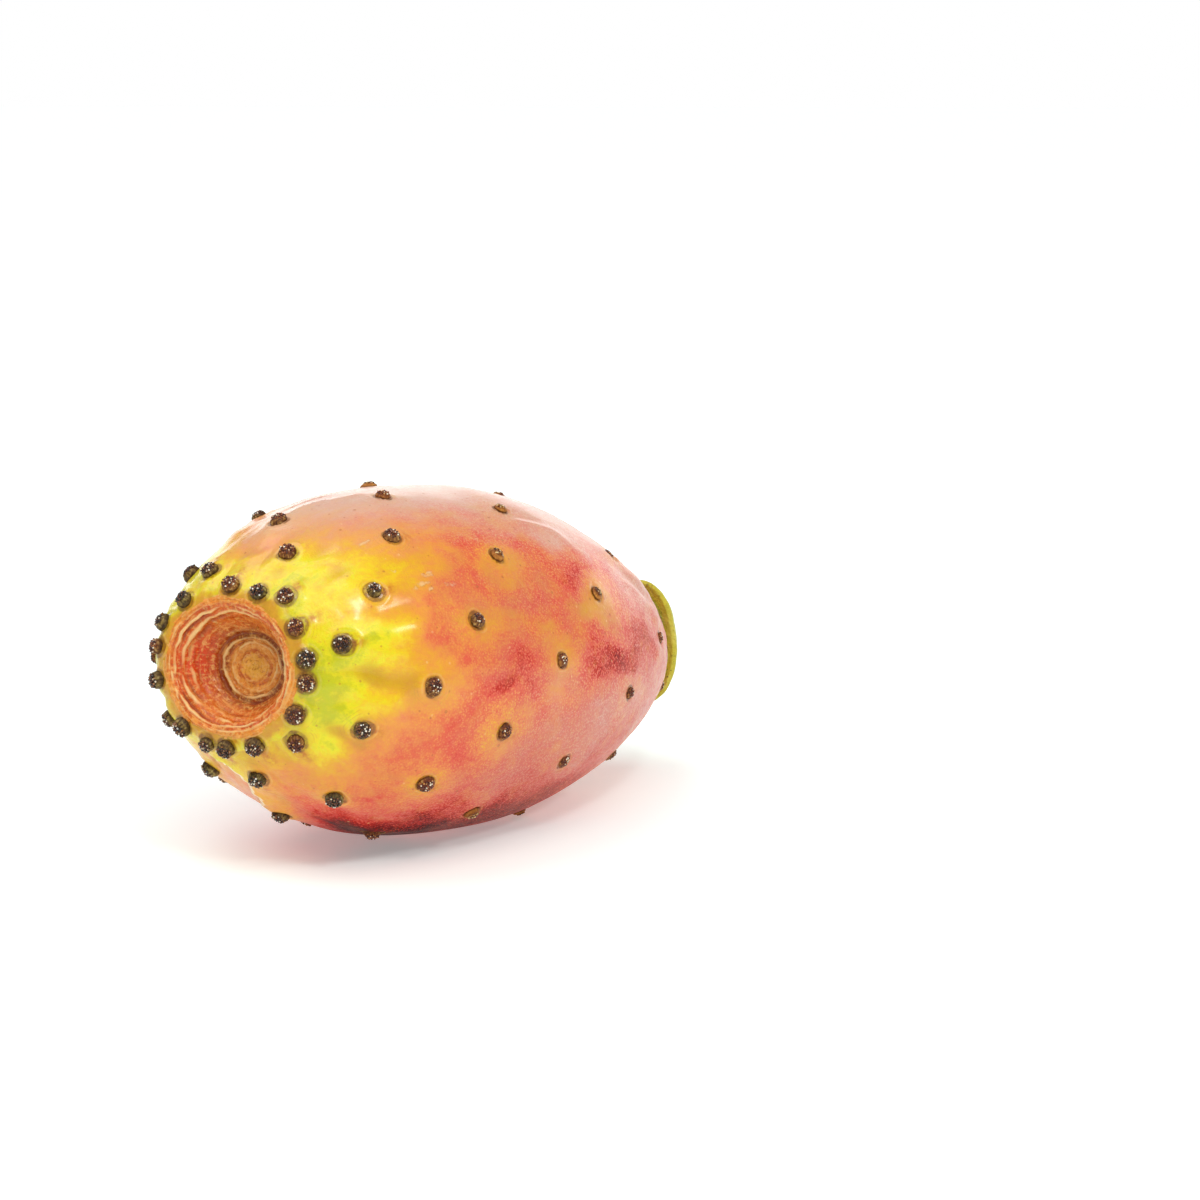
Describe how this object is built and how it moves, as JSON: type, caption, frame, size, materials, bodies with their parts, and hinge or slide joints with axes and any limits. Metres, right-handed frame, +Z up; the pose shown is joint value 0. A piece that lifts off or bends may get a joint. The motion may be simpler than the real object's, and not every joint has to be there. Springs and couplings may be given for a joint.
{
  "type": "prickly pear fruit",
  "caption": "Whole prickly pear fruit lying on its side, with bristle cushions in spirals, a flower scar cup and a scrap of cactus pad at the stem end.",
  "frame": {"origin": "centre of the bounding box's base, on the surface that the fruit lies on", "axes": "+X along the fruit, from the flower scar cup to the stem end, +Y to the fruit's left as seen from the cup, +Z up"},
  "size_m": [0.0898, 0.0484, 0.0454],
  "materials": {
    "fruit_skin": "waxy satin skin, lemon yellow at the flower end through orange to salmon red, with brown bristle cushions",
    "pad_rind": "satin yellow-olive rind with a dried dark inner side"
  },
  "bodies": {
    "root": {"fruit": "fruit_skin", "pad_remnant": "pad_rind"}
  },
  "joints": []
}
